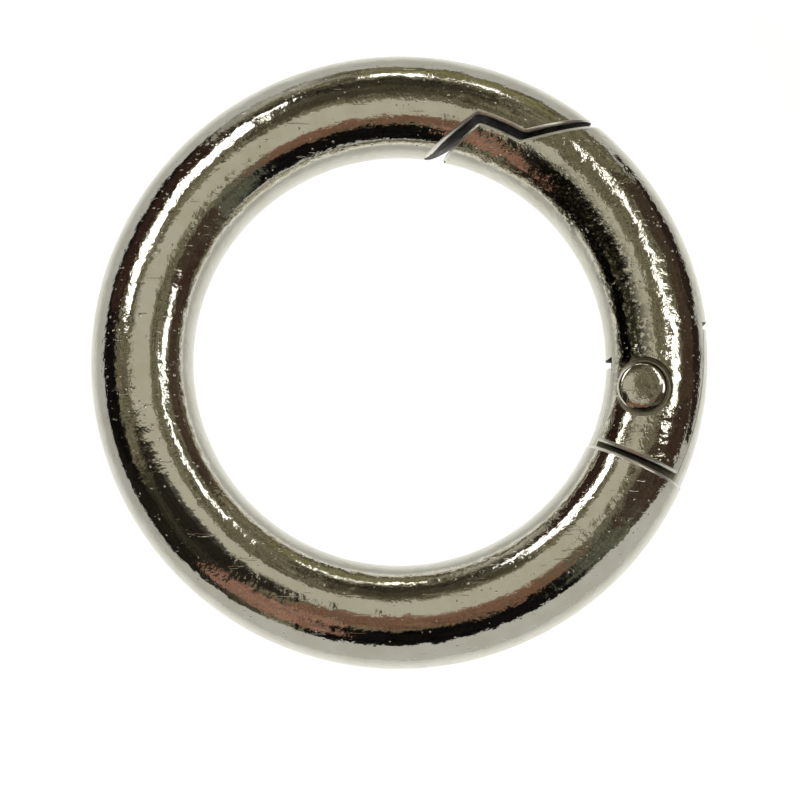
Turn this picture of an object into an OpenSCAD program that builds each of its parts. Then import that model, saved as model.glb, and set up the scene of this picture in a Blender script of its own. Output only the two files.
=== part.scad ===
// Round spring gate ring: a C-shaped round bar closed by a hinged, sprung gate.
// The ring lies flat: +Z is out of its face, the origin is the centre of the eye.

/* [Ring] */
// Inside diameter of the closed ring
ring_id = 24; // [18:0.5:32]
// Diameter of the round bar
bar_d = 6; // [4:0.1:8]

/* [Latch] */
// Radius of the step wall on the body's lip
lip_step_r = 14.85; // [14.5:0.05:15.2]
// Gap between the lip's step and the gate's step
step_gap = 0.45; // [0.3:0.05:0.7]
// Gap between the lip's outer ramp and the gate's
ramp_gap = 0.30; // [0.2:0.05:0.5]
// Angle at which the step meets the inner face
step_start_deg = 71.7; // [70:0.1:73]
// Angle at which the step meets the outer ramp
step_end_deg = 60.4; // [59:0.1:62]
// Heading of the body's inner latch face
inner_face_deg = 36.7; // [34:0.1:40]
// Heading of the gate's inner latch face
nose_face_deg = 42.8; // [40:0.1:46]
// Heading of the outer ramp on both parts
ramp_deg = 14.8; // [12:0.1:18]

/* [Hinge] */
// Distance of the rivet from the ring's centre
pivot_r = 14.25; // [14:0.05:15]
// Angle of the rivet about the ring's centre
pivot_deg = -7.7; // [-9:0.1:-6]
// Angle of the gate's heel face
heel_deg = -22.8; // [-24:0.1:-22]
// Angle of the body's shoulder face
shoulder_deg = -24.8; // [-26:0.1:-24]
// Half height of the tongue at the rivet
tongue_half_h = 1.34; // [1:0.02:1.5]
// Taper of the tongue's faces, in mm per mm
tongue_taper = 0.054; // [0:0.002:0.08]
// Clearance of the tongue in the gate's slot, each side
slot_clear = 0.12; // [0.08:0.01:0.2]
// Distance from the rivet to the end of the slot
slot_reach = 2.44; // [2.3:0.02:2.8]
// Distance from the rivet to the slanted end of the tongue
tongue_reach = 2.06; // [1.9:0.02:2.2]
// Heading of the slot's end wall
slot_end_deg = 21.3; // [18:0.1:24]

/* [Rivet] */
// Radius of the rivet's shank
rivet_r = 0.80; // [0.6:0.05:1]
// Running clearance of the shank in the tongue
rivet_clear = 0.05; // [0.02:0.01:0.1]
// Radius of the domed head
head_r = 1.50; // [1.2:0.05:1.7]
// Radius of the recess round the head
recess_r = 1.72; // [1.6:0.02:1.9]
// Height of the recess floor over the middle plane
recess_z = 2.05; // [1.9:0.05:2.3]
// Height of the head's dome over the recess floor
dome_h = 0.88; // [0.6:0.02:0.9]
// Height of the formed head under the ring
formed_h = 0.70; // [0.5:0.02:0.9]

/* [Spring] */
// Mean radius of the coil
coil_r = 0.48; // [0.4:0.02:0.6]
// Diameter of the spring wire
coil_wire_d = 0.22; // [0.15:0.01:0.3]
// Number of turns
coil_turns = 9; // [6:1:12]
// Radius of the spring's pocket in the gate
pocket_r = 0.68; // [0.6:0.02:0.75]
// Depth of the pocket from the slot
pocket_depth = 3.4; // [2.8:0.1:4]

/* [Hidden] */

ring_r = ring_id / 2 + bar_d / 2;
bar_r = bar_d / 2;
eps = 0.01;
pivot = [pivot_r * cos(pivot_deg), pivot_r * sin(pivot_deg)];
gate_step_r = lip_step_r - step_gap;

// Walls of the latch, seen along Z. Each list runs from the inside of the ring outwards.
function polar(r, a) = [r * cos(a), r * sin(a)];
function ahead(p, a, d) = [p[0] + d * cos(a), p[1] + d * sin(a)];
function arc(c, r, a0, a1, n) = [for (i = [0:n]) ahead(c, a0 + (a1 - a0) * i / n, r)];
// A bend of radius r at corner p, from heading h0 to heading h1.
function bend_in(h0, h1) = (h1 > h0) ? 1 : -1;
function bend_back(r, h0, h1) = r * tan(abs(h1 - h0) / 2);
function bend_centre(p, r, h0, h1) =
    ahead(ahead(p, h0, -bend_back(r, h0, h1)), h0 + 90 * bend_in(h0, h1), r);
function bend(p, r, h0, h1) =
    arc(bend_centre(p, r, h0, h1), r, h0 - 90 * bend_in(h0, h1), h1 - 90 * bend_in(h0, h1), 6);

lip_root = polar(lip_step_r, step_start_deg);
lip_nose = polar(lip_step_r, step_end_deg);
lip_root_heading = step_start_deg - 90;
lip_nose_heading = step_end_deg - 90;
lip_wall = concat(
    [ahead(lip_root, inner_face_deg, -5)],
    bend(lip_root, 0.6, inner_face_deg, lip_root_heading),
    [for (a = [step_start_deg - 2.5:-1.5:step_end_deg + 1.5]) polar(lip_step_r, a)],
    bend(lip_nose, 0.35, lip_nose_heading, ramp_deg),
    [ahead(lip_nose, ramp_deg, 6)]
);

gate_nose_deg = step_start_deg - 0.6;
gate_nose = polar(gate_step_r, gate_nose_deg);
ramp_foot = ahead(lip_nose, ramp_deg - 90, ramp_gap);
ramp_back = (gate_step_r - norm(ramp_foot)) / cos(step_end_deg - ramp_deg);
gate_root = ahead(ramp_foot, ramp_deg, ramp_back);
gate_wall = concat(
    [ahead(gate_nose, nose_face_deg, -5)],
    bend(gate_nose, 0.3, nose_face_deg, gate_nose_deg - 90),
    [for (a = [gate_nose_deg - 2:-1.5:step_end_deg + 1.5]) polar(gate_step_r, a)],
    bend(gate_root, 0.5, lip_nose_heading, ramp_deg),
    [ahead(gate_root, ramp_deg, 6.5)]
);

// The slot's end wall and the tongue's end, as headings about the rivet.
end_normal = slot_end_deg + 90;
slot_foot = ahead(pivot, end_normal, slot_reach);
tongue_foot = ahead(pivot, end_normal, tongue_reach);

// The spring's axis starts on its seat on the tongue and runs into the gate.
spring_heading = 95;
spring_lever = -0.95;
seat_dist = 1.50;
axis_root = ahead(pivot, spring_heading - 90, spring_lever);
spring_foot = ahead(axis_root, spring_heading, seat_dist);
pocket_end_dist = 2.23 + pocket_depth;
spring_len = pocket_end_dist - seat_dist - 0.04;

module bar_arc(r, a0, a1) {
    rotate([0, 0, a0])
        rotate_extrude(angle = a1 - a0, $fn = 160)
            translate([ring_r, 0])
                circle(r = r, $fn = 72);
}

// A wedge along the tongue, symmetric about the middle plane.
module tongue_wedge(grow) {
    y0 = -8;
    y1 = 9;
    h0 = tongue_half_h + grow - tongue_taper * y0;
    h1 = tongue_half_h + grow - tongue_taper * y1;
    translate([pivot[0], pivot[1], 0])
        rotate([0, 0, pivot_deg])
            rotate([90, 0, 90])
                translate([0, 0, -7])
                    linear_extrude(height = 14)
                        polygon([[y0, -h0], [y1, -h1], [y1, h1], [y0, h0]]);
}

// Everything short of a wall that passes through foot, seen along Z.
module behind(foot, heading) {
    translate([foot[0], foot[1], -4])
        rotate([0, 0, heading])
            translate([-30, -20, 0])
                cube([60, 20, 8]);
}

module tongue() {
    difference() {
        intersection() {
            bar_arc(bar_r - 0.05, shoulder_deg - 1.5, 14);
            tongue_wedge(0);
            behind(tongue_foot, slot_end_deg);
            tongue_corner();
        }
        spring_seat();
        translate([pivot[0], pivot[1], -4])
            cylinder(r = rivet_r + rivet_clear, h = 8, $fn = 48);
    }
}

// Rounds the tongue's outer end corner.
module tongue_corner() {
    translate([pivot[0], pivot[1], -4])
        cylinder(r = 4.9, h = 8, $fn = 72);
    rotate([0, 0, shoulder_deg - 12])
        translate([8, 0, -4])
            cube([12, 5.2, 8]);
}

// The step that the spring bears on, at the tongue's inner end.
module spring_seat() {
    translate([spring_foot[0], spring_foot[1], -4])
        rotate([0, 0, spring_heading - 90])
            translate([-3, 0, 0])
                cube([3.75, 3, 8]);
}

module lip_cut() {
    translate([0, 0, -4])
        linear_extrude(height = 8)
            polygon(concat(lip_wall, [[22, 14], [20, 6], [8, 5]]));
}

module gate_cut() {
    translate([0, 0, -4])
        linear_extrude(height = 8)
            polygon(concat(gate_wall, [[14, 22], [-6, 22], [-6, 10]]));
}

module ring_body() {
    color([0.62, 0.61, 0.56])
        union() {
            difference() {
                bar_arc(bar_r, 49, 360 + shoulder_deg);
                lip_cut();
            }
            tongue();
        }
}

module gate() {
    color([0.66, 0.65, 0.60])
        difference() {
            bar_arc(bar_r, heel_deg, 84);
            gate_cut();
            // the slot that the tongue sits in
            intersection() {
                tongue_wedge(slot_clear);
                behind(slot_foot, slot_end_deg);
            }
            // the spring's pocket
            translate([axis_root[0], axis_root[1], 0])
                rotate([0, 0, spring_heading])
                    rotate([0, 90, 0])
                        translate([0, 0, 1.2])
                            cylinder(r = pocket_r, h = pocket_end_dist - 1.2, $fn = 40);
            // the rivet's hole and the recess round each head
            translate([pivot[0], pivot[1], -4])
                cylinder(r = rivet_r, h = 8, $fn = 48);
            translate([pivot[0], pivot[1], recess_z])
                cylinder(r = recess_r, h = 2, $fn = 64);
            translate([pivot[0], pivot[1], -recess_z - 2])
                cylinder(r = recess_r, h = 2, $fn = 64);
        }
}

// A head with its flat side on the recess floor.
module rivet_head(h) {
    edge = 0.16;
    cap = h - edge;
    ball = (head_r * head_r + cap * cap) / (2 * cap);
    intersection() {
        cylinder(r = head_r, h = h + 0.2, $fn = 64);
        translate([0, 0, h - ball])
            sphere(r = ball, $fn = 96);
    }
}

module rivet() {
    color([0.70, 0.69, 0.65])
        translate([pivot[0], pivot[1], 0])
            union() {
                translate([0, 0, -recess_z - eps])
                    cylinder(r = rivet_r, h = 2 * recess_z + 2 * eps, $fn = 48);
                translate([0, 0, recess_z])
                    rivet_head(dome_h);
                translate([0, 0, -recess_z])
                    mirror([0, 0, 1])
                        rivet_head(formed_h);
            }
}

// A coil about Z, from z = 0 to z = length, its end turns laid close.
coil_steps = 18;
coil_sides = 8;
function coil_z(t, length) =
    coil_wire_d / 2 + (length - coil_wire_d) * coil_share(t);
function coil_share(t) =
    (t < 1) ? 0.07 * t
    : (t > coil_turns - 1) ? 1 - 0.07 * (coil_turns - t)
    : 0.07 + 0.86 * (t - 1) / (coil_turns - 2);
function coil_ring(t, length) =
    [for (k = [0:coil_sides - 1])
        let (a = 360 * k / coil_sides, q = coil_r + coil_wire_d / 2 * cos(a))
            [q * cos(360 * t), q * sin(360 * t), coil_z(t, length) + coil_wire_d / 2 * sin(a)]];

module coil(length) {
    n = coil_turns * coil_steps;
    m = coil_sides;
    pts = [for (i = [0:n]) each coil_ring(i / coil_steps, length)];
    sides = [for (i = [0:n - 1], k = [0:m - 1]) each [
        [i * m + k, i * m + (k + 1) % m, (i + 1) * m + (k + 1) % m],
        [i * m + k, (i + 1) * m + (k + 1) % m, (i + 1) * m + k]
    ]];
    caps = [[for (k = [m - 1:-1:0]) k], [for (k = [0:m - 1]) n * m + k]];
    polyhedron(points = pts, faces = concat(sides, caps), convexity = 10);
}

module return_spring() {
    color([0.45, 0.46, 0.48])
        translate([spring_foot[0], spring_foot[1], 0])
            rotate([0, 0, spring_heading])
                rotate([0, 90, 0])
                    translate([0, 0, 0.02])
                        coil(spring_len);
}

ring_body();
gate();
rivet();
return_spring();
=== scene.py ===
"""Look of a round spring gate ring: plated body, hinged gate, rivet and return spring."""

import logging
import math
from collections.abc import Callable
from dataclasses import dataclass, field
from enum import Enum

import bmesh
import bpy
from mathutils import Matrix, Vector

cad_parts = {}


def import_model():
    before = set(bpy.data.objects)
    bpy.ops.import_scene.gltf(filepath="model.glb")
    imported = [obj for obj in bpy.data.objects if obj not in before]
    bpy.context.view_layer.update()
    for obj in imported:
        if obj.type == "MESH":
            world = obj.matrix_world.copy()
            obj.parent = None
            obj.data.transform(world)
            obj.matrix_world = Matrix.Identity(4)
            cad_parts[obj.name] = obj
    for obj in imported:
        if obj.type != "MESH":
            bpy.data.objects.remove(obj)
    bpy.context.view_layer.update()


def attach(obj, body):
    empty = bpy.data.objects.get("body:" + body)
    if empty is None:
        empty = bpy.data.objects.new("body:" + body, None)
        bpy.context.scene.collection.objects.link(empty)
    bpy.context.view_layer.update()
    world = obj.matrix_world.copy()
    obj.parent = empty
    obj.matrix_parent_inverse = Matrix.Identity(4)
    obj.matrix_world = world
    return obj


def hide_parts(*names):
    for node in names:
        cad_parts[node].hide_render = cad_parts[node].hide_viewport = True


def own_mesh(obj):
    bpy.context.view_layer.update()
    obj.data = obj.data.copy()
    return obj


LOG = logging.getLogger("spring_gate_ring")
MM = 0.001
SHARP_DEG = 24.0  # a corner between two walls that is sharper than this gets a rounding
ALIKE = 0.8  # least agreement of two wall faces that are shaded as one
UPRIGHT_Z = 0.12  # a face whose normal rises less than this stands upright
TINY = 1e-12


class Kind(Enum):
    """What a face of a casting is, kept as its material index while it is made."""

    SKIN = 0
    EDGE = 1
    WALL = 2


# ---------------------------------------------------------------- plane geometry


def polar(r: float, deg: float) -> Vector:
    """Point at radius r and angle deg about the ring's centre, in mm."""
    return Vector((r * math.cos(math.radians(deg)), r * math.sin(math.radians(deg))))


def ahead(p: Vector, deg: float, d: float) -> Vector:
    """Point d mm from p along heading deg."""
    return p + polar(d, deg)


def angle_on(wall: list[Vector], r: float) -> float:
    """Finds where a wall that runs outwards is at radius r.

    Args:
        wall: Points of the wall, seen along Z, in mm.
        r: Radius about the ring's centre, in mm.

    Returns:
        Angle about the ring's centre, in degrees.
    """
    for a, b in zip(wall, wall[1:]):
        if a.length <= r <= b.length + 1e-9:
            lo, hi = 0.0, 1.0
            for _ in range(40):
                mid = (lo + hi) / 2
                if a.lerp(b, mid).length < r:
                    lo = mid
                else:
                    hi = mid
            q = a.lerp(b, lo)
            return math.degrees(math.atan2(q.y, q.x))
    q = wall[-1] if r > wall[-1].length else wall[0]
    return math.degrees(math.atan2(q.y, q.x))


@dataclass(frozen=True)
class RingSizes:
    """Sizes that the body and the gate share, in mm and degrees."""

    ring_r: float = 15.0
    bar_r: float = 3.0
    lip_step_r: float = 14.85
    step_gap: float = 0.45
    ramp_gap: float = 0.30
    step_start_deg: float = 71.7
    step_end_deg: float = 60.4
    inner_face_deg: float = 36.7
    nose_face_deg: float = 40.5
    ramp_deg: float = 14.8
    pivot_r: float = 14.25
    pivot_deg: float = -7.7
    heel_deg: float = -23.3
    shoulder_deg: float = -24.4
    tongue_half_h: float = 1.34
    tongue_taper: float = 0.054
    slot_clear: float = 0.12
    slot_reach: float = 2.44
    tongue_reach: float = 2.06
    slot_end_deg: float = 21.3
    recess_z: float = 2.05
    spring_heading: float = 95.0
    spring_lever: float = -0.95
    seat_dist: float = 1.50
    pocket_end: float = 5.63

    @property
    def pivot(self) -> Vector:
        """The rivet's axis, seen along Z."""
        return polar(self.pivot_r, self.pivot_deg)

    @property
    def gate_step_r(self) -> float:
        """Radius of the step wall on the gate."""
        return self.lip_step_r - self.step_gap

    def rho(self, theta: float) -> float:
        """Distance from the ring's centre of a point of the skin at section angle theta."""
        return self.ring_r + self.bar_r * math.cos(theta)

    def slot_half_height(self, q: Vector, grow: float) -> float:
        """Half height of the tongue at a point seen along Z.

        Args:
            q: The point, in mm.
            grow: What is added, in mm.

        Returns:
            The height in mm.
        """
        rel = q - self.pivot
        turn = math.radians(self.pivot_deg)
        along = -rel.x * math.sin(turn) + rel.y * math.cos(turn)
        return self.tongue_half_h + grow - self.tongue_taper * along

    def lip_inner(self) -> list[Vector]:
        """The body's inner latch face, from the inside of the ring to the step."""
        root = polar(self.lip_step_r, self.step_start_deg)
        return [ahead(root, self.inner_face_deg, -5), root]

    def lip_ramp(self) -> list[Vector]:
        """The body's outer latch face, from the step to the outside of the ring."""
        nose = polar(self.lip_step_r, self.step_end_deg)
        return [nose, ahead(nose, self.ramp_deg, 6)]

    def gate_inner(self) -> list[Vector]:
        """The gate's inner latch face, from the inside of the ring to the step."""
        nose = polar(self.gate_step_r, self.step_start_deg - 0.6)
        return [ahead(nose, self.nose_face_deg, -5), nose]

    def gate_ramp(self) -> list[Vector]:
        """The gate's outer latch face.

        Returns:
            Its points from the step to the outside of the ring.
        """
        lip = polar(self.lip_step_r, self.step_end_deg)
        foot = ahead(lip, self.ramp_deg - 90, self.ramp_gap)
        back = (self.gate_step_r - foot.length) / math.cos(
            math.radians(self.step_end_deg - self.ramp_deg)
        )
        root = ahead(foot, self.ramp_deg, back)
        return [root, ahead(root, self.ramp_deg, 6.5)]

    def long_lines(self, step_r: float, outer: int, inner: int) -> list[float]:
        """Section angles of a bar's long lines, with room beside the step for its rounding.

        Args:
            step_r: Radius of the step wall.
            outer: Number of lines outside the step.
            inner: Number of lines inside it.

        Returns:
            Angles from the outside of the ring to the inside.
        """
        step, room = math.acos((step_r - self.ring_r) / self.bar_r), 0.115
        return (
            [(step - room) * i / (outer - 1) for i in range(outer)]
            + [step]
            + [step + room + (math.pi - step - room) * i / (inner - 1) for i in range(inner)]
        )

    def spring_frame(self, dist: float) -> Matrix:
        """Gives the shift to a point of the spring's axis.

        Args:
            dist: Distance of the point from the axis's root, in mm.

        Returns:
            The shift.
        """
        root = ahead(self.pivot, self.spring_heading - 90, self.spring_lever)
        at = ahead(root, self.spring_heading, dist)
        return Matrix.Translation(Vector((at.x, at.y, 0)) * MM)

    def spring_turn(self) -> Matrix:
        """Turn that lays the Z axis along the spring's heading."""
        turn = Matrix.Rotation(math.radians(self.spring_heading), 4, "Z")
        return turn @ Matrix.Rotation(math.pi / 2, 4, "Y")

    def core_point(self, co: Vector) -> Vector:
        """Point of the bar's centre line that is nearest to co, both in metres."""
        return Vector((co.x, co.y, 0)).normalized() * self.ring_r * MM

    def skin_normal(self, co: Vector) -> Vector:
        """Normal of the round bar at a point co of its skin, in metres."""
        return (co - self.core_point(co)).normalized()

    def slot_end_angle(self, r: float) -> float:
        """Finds where the slot's end wall is at radius r.

        Args:
            r: Radius about the ring's centre, in mm.

        Returns:
            Angle about the ring's centre, in degrees.
        """
        foot = ahead(self.pivot, self.slot_end_deg + 90, self.slot_reach)
        wall = [ahead(foot, self.slot_end_deg, -2.6), ahead(foot, self.slot_end_deg, 6)]
        return angle_on(wall, r)


# ---------------------------------------------------------------- mesh helpers


def grow_chain(bm: bmesh.types.BMesh, chain: list, closed: bool) -> list:
    """Extrudes a chain of points into a new one.

    Args:
        bm: The mesh.
        chain: Points in order, joined by edges.
        closed: Whether the last point joins the first.

    Returns:
        The new points, in the order of the old ones.
    """
    pairs = list(zip(chain, chain[1:])) + ([(chain[-1], chain[0])] if closed else [])
    edges = [next(e for e in a.link_edges if e.other_vert(a) is b) for a, b in pairs]
    made = bmesh.ops.extrude_edge_only(bm, edges=edges)
    new = {v for v in made["geom"] if isinstance(v, bmesh.types.BMVert)}
    return [
        next(e.other_vert(v) for e in v.link_edges if e.other_vert(v) in new) for v in chain
    ]


def close_face(bm: bmesh.types.BMesh, verts: list, kind: Kind) -> None:
    """Closes a loop of points with one face.

    Args:
        bm: The mesh.
        verts: The points.
        kind: Kind of the face.
    """
    made = bmesh.ops.contextual_create(bm, geom=verts)
    for face in made["faces"]:
        face.material_index = kind.value


def fill_hole(bm: bmesh.types.BMesh, loop: list, kind: Kind) -> None:
    """Closes a hole.

    Args:
        bm: The mesh.
        loop: Points of the hole's border, in order.
        kind: Kind of the face.
    """
    pairs = list(zip(loop, loop[1:] + loop[:1]))
    edges = []
    for a, b in pairs:
        found = [e for e in a.link_edges if e.other_vert(a) is b]
        edges.append(found[0] if found else bm.edges.new((a, b)))
    made = bmesh.ops.contextual_create(bm, geom=edges)
    for face in made["faces"]:
        face.material_index = kind.value


def place_on_skin(v: bmesh.types.BMVert, sizes: RingSizes, deg: float, theta: float) -> None:
    """Moves a point to the skin of the bar at ring angle deg and section angle theta."""
    p = polar(sizes.rho(theta), deg)
    v.co = Vector((p.x, p.y, sizes.bar_r * math.sin(theta))) * MM


def weigh_rims(
    bm: bmesh.types.BMesh, weight_of: Callable[[Vector], float], upright: float
) -> None:
    """Marks the sharp edges that are to be rounded.

    Args:
        bm: The mesh.
        weight_of: Gives the weight of a rim from its middle point, in mm.
        upright: Weight of an upright corner between two walls.
    """
    layer = bm.edges.layers.float.new("bevel_weight_edge")
    for e in bm.edges:
        if len(e.link_faces) != 2:
            continue
        kinds = {f.material_index for f in e.link_faces}
        sharp = e.calc_face_angle(0.0) > math.radians(SHARP_DEG)
        if (Kind.WALL.value in kinds and len(kinds) > 1) or (kinds == {Kind.WALL.value} and sharp):
            a, b = (v.co / MM for v in e.verts)
            standing = abs(a.z - b.z) > 0.8 and (a - b).xy.length < 0.05
            e[layer] = upright if standing else weight_of((a + b) / 2)


def new_piece(name: str, bm: bmesh.types.BMesh) -> bpy.types.Object:
    """Makes an object of a mesh and puts it in the scene.

    Args:
        name: Name of the object and of its mesh.
        bm: The mesh, which is used up.

    Returns:
        The object.
    """
    bmesh.ops.recalc_face_normals(bm, faces=bm.faces)
    mesh = bpy.data.meshes.new(name)
    bm.to_mesh(mesh)
    bm.free()
    piece = bpy.data.objects.new(name, mesh)
    bpy.context.scene.collection.objects.link(piece)
    return piece


def apply_modifiers(piece: bpy.types.Object) -> None:
    """Makes the modified shape the piece's own mesh.

    Args:
        piece: An object with modifiers.
    """
    graph = bpy.context.evaluated_depsgraph_get()
    graph.update()
    shaped = bpy.data.meshes.new_from_object(
        piece.evaluated_get(graph), preserve_all_data_layers=True, depsgraph=graph
    )
    old = piece.data
    piece.modifiers.clear()
    piece.data = shaped
    bpy.data.meshes.remove(old)
    shaped.name = piece.name


def add_kinds(piece: bpy.types.Object) -> None:
    """Gives a casting one slot for each kind of face."""
    for kind in Kind:
        piece.data.materials.append(bpy.data.materials.new(f"{piece.name}_{kind.name.lower()}"))


def round_rims(piece: bpy.types.Object, width: float, segments: int = 4) -> None:
    """Rounds the marked rims of a casting.

    Args:
        piece: The casting.
        width: Width of a rounding of weight 1, in mm.
        segments: Number of faces across it.
    """
    if not piece.data.materials:
        add_kinds(piece)
    bev = piece.modifiers.new("rims", "BEVEL")
    bev.limit_method = "WEIGHT"
    bev.width = width * MM
    bev.segments = segments
    bev.profile = 0.5
    bev.material = Kind.EDGE.value
    bev.use_clamp_overlap = False
    bev.loop_slide = True
    bev.miter_outer = "MITER_SHARP"
    apply_modifiers(piece)


def hold_in_bar(piece: bpy.types.Object, sizes: RingSizes) -> None:
    """Brings any point that the rounding pushed out of the round bar back to its skin.

    Args:
        piece: The casting.
        sizes: The ring's sizes.
    """
    for v in piece.data.vertices:
        core = sizes.core_point(v.co)
        out = v.co - core
        if out.length > sizes.bar_r * MM:
            v.co = core + out.normalized() * sizes.bar_r * MM


def cut_away(piece: bpy.types.Object, cutter: bpy.types.Object) -> None:
    """Takes a cutter's shape out of a piece, and removes the cutter.

    Args:
        piece: The piece.
        cutter: An object whose slots are those of the piece.
    """
    cut = piece.modifiers.new("cut", "BOOLEAN")
    cut.operation = "DIFFERENCE"
    cut.solver = "EXACT"
    cut.object = cutter
    cut.material_mode = "INDEX"
    apply_modifiers(piece)
    bpy.data.objects.remove(cutter)


def cut_with(piece: bpy.types.Object, bm: bmesh.types.BMesh, kind: Kind) -> None:
    """Takes a shape out of a piece.

    Args:
        piece: The piece.
        bm: The shape, which is used up.
        kind: Kind of the new faces.
    """
    for f in bm.faces:
        f.material_index = kind.value
    cutter = new_piece("cutter", bm)
    for material in piece.data.materials:
        cutter.data.materials.append(material)
    cut_away(piece, cutter)


def lathe(
    bm: bmesh.types.BMesh, profile: list[tuple[float, float]], centre: Vector, steps: int
) -> None:
    """Turns a profile about a Z axis.

    Args:
        bm: The mesh to add to.
        profile: Points (radius, height) in mm, from the axis to the axis.
        centre: The axis, seen along Z, in mm.
        steps: Number of steps round the axis.
    """
    verts = [bm.verts.new(Vector((centre.x + r, centre.y, z)) * MM) for r, z in profile]
    edges = [bm.edges.new(pair) for pair in zip(verts, verts[1:])]
    before = set(bm.verts) - set(verts)
    bmesh.ops.spin(
        bm, geom=verts + edges, cent=Vector((centre.x, centre.y, 0)) * MM, axis=(0, 0, 1),
        angle=2 * math.pi, steps=steps, use_merge=True,
    )
    made = [v for v in bm.verts if v not in before]
    bmesh.ops.remove_doubles(bm, verts=made, dist=1e-7)


def mean_normal(polys: list) -> Vector:
    """Mean of the normals of some faces, by their area."""
    return sum((p.normal * max(p.area, TINY) for p in polys), Vector()).normalized()


def settle_normals(piece: bpy.types.Object, sizes: RingSizes) -> None:
    """Gives each face the normal that its surface has.

    The skin takes the exact normal of the round bar, a wall is flat, and a rounded edge runs from
    one to the other.

    Args:
        piece: A casting whose material indices are kinds.
        sizes: The ring's sizes.
    """
    mesh = piece.data
    near: dict[int, list] = {}
    for poly in mesh.polygons:
        for vi in poly.vertices:
            near.setdefault(vi, []).append(poly)

    normals = [Vector((0, 0, 1))] * len(mesh.loops)
    for poly in mesh.polygons:
        for li in poly.loop_indices:
            vi = mesh.loops[li].vertex_index
            around = near[vi]
            walls = [p for p in around if p.material_index == Kind.WALL.value]
            by_skin = any(p.material_index == Kind.SKIN.value for p in around)
            if poly.material_index == Kind.WALL.value:
                normals[li] = mean_normal([p for p in walls if p.normal.dot(poly.normal) > ALIKE])
            elif by_skin:
                normals[li] = sizes.skin_normal(mesh.vertices[vi].co)
            else:
                normals[li] = mean_normal(walls or around)
    mesh.polygons.foreach_set("use_smooth", [True] * len(mesh.polygons))
    mesh.normals_split_custom_set([tuple(n) for n in normals])


def mark_shade_and_highlight(piece: bpy.types.Object, depth: float = 1.0) -> None:
    """Keeps which faces are cut walls or rounded rims in attributes that the finish reads: walls
    get a painted shade, rims a painted highlight.

    Args:
        piece: A casting whose material indices are kinds.
        depth: How dark the painted shade on its cut walls is, from 0 to 1.
    """
    mesh = piece.data
    # cut walls: how dark their painted shade is
    layer = mesh.attributes.new("cut_wall", "FLOAT", "FACE")
    polys = mesh.polygons
    cut = [p.material_index == Kind.WALL.value or abs(p.normal.z) < UPRIGHT_Z for p in polys]
    skin = [p.material_index == Kind.SKIN.value for p in polys]
    wall = [depth if c and not k else 0.0 for c, k in zip(cut, skin)]
    layer.data.foreach_set("value", wall)
    # rounded rims: where the painted highlight goes
    rims = mesh.attributes.new("painted_rim_highlight", "FLOAT", "FACE")
    rims.data.foreach_set("value", [0.0 if c or k else 1.0 for c, k in zip(cut, skin)])


def one_material(piece: bpy.types.Object, material: bpy.types.Material) -> None:
    """Dresses a whole piece in one material.

    Args:
        piece: The piece.
        material: Its material.
    """
    piece.data.materials.clear()
    piece.data.materials.append(material)
    piece.data.polygons.foreach_set("material_index", [0] * len(piece.data.polygons))
    piece.data.update()


# ---------------------------------------------------------------- the body


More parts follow.
